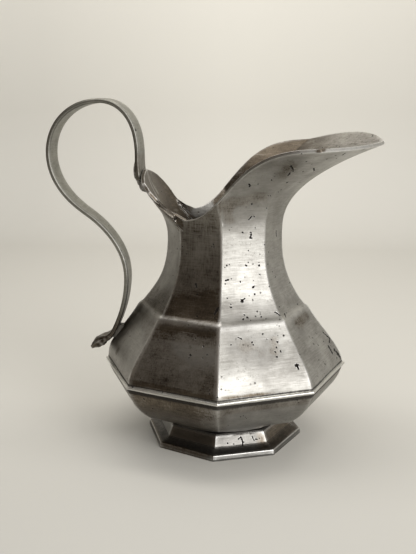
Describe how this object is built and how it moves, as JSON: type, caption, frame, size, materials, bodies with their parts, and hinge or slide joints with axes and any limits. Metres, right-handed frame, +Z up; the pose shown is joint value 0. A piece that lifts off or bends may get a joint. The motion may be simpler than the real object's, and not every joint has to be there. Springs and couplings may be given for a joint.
{
  "type": "pitcher",
  "caption": "Faceted pewter pitcher with a pear-shaped octagonal body, a splayed foot, a saddle-shaped mouth drawn out to a pointed spout and a looped strap handle.",
  "frame": {"origin": "centre of the foot's ring, in the plane that it stands on", "axes": "+Z up, +X from the handle towards the spout, +Y towards the pitcher's left side as seen from the handle"},
  "size_m": [0.2124, 0.16, 0.2206],
  "materials": {
    "foot": "cast pewter, dull silver grey with dark grime in the moulding",
    "foot_solder": "pewter solder, dull and dark",
    "lower_bowl": "cast pewter, brushed, warm grey",
    "belt_solder": "pewter solder, dull and dark",
    "belt_moulding": "cast pewter, worn bright on its crown",
    "upper_body_right": "cast pewter, finely brushed, with pits",
    "upper_body_left": "cast pewter, finely brushed, with pits",
    "spout_seam": "pewter solder, filed flush, pitted",
    "rear_seam": "pewter solder, filed flush",
    "handle_strap": "cast pewter, worn smooth, greenish grey",
    "handle_tongue": "rough cast pewter, dark",
    "handle_top_solder": "pewter solder, dull and dark",
    "handle_low_solder": "pewter solder, dull and dark"
  },
  "bodies": {
    "root": {"foot": "foot", "foot_solder": "foot_solder", "lower_bowl": "lower_bowl", "belt_solder": "belt_solder", "belt_moulding": "belt_moulding", "upper_body_right": "upper_body_right", "upper_body_left": "upper_body_left", "spout_seam": "spout_seam", "rear_seam": "rear_seam", "handle_strap": "handle_strap", "handle_tongue": "handle_tongue", "handle_top_solder": "handle_top_solder", "handle_low_solder": "handle_low_solder"}
  },
  "joints": []
}
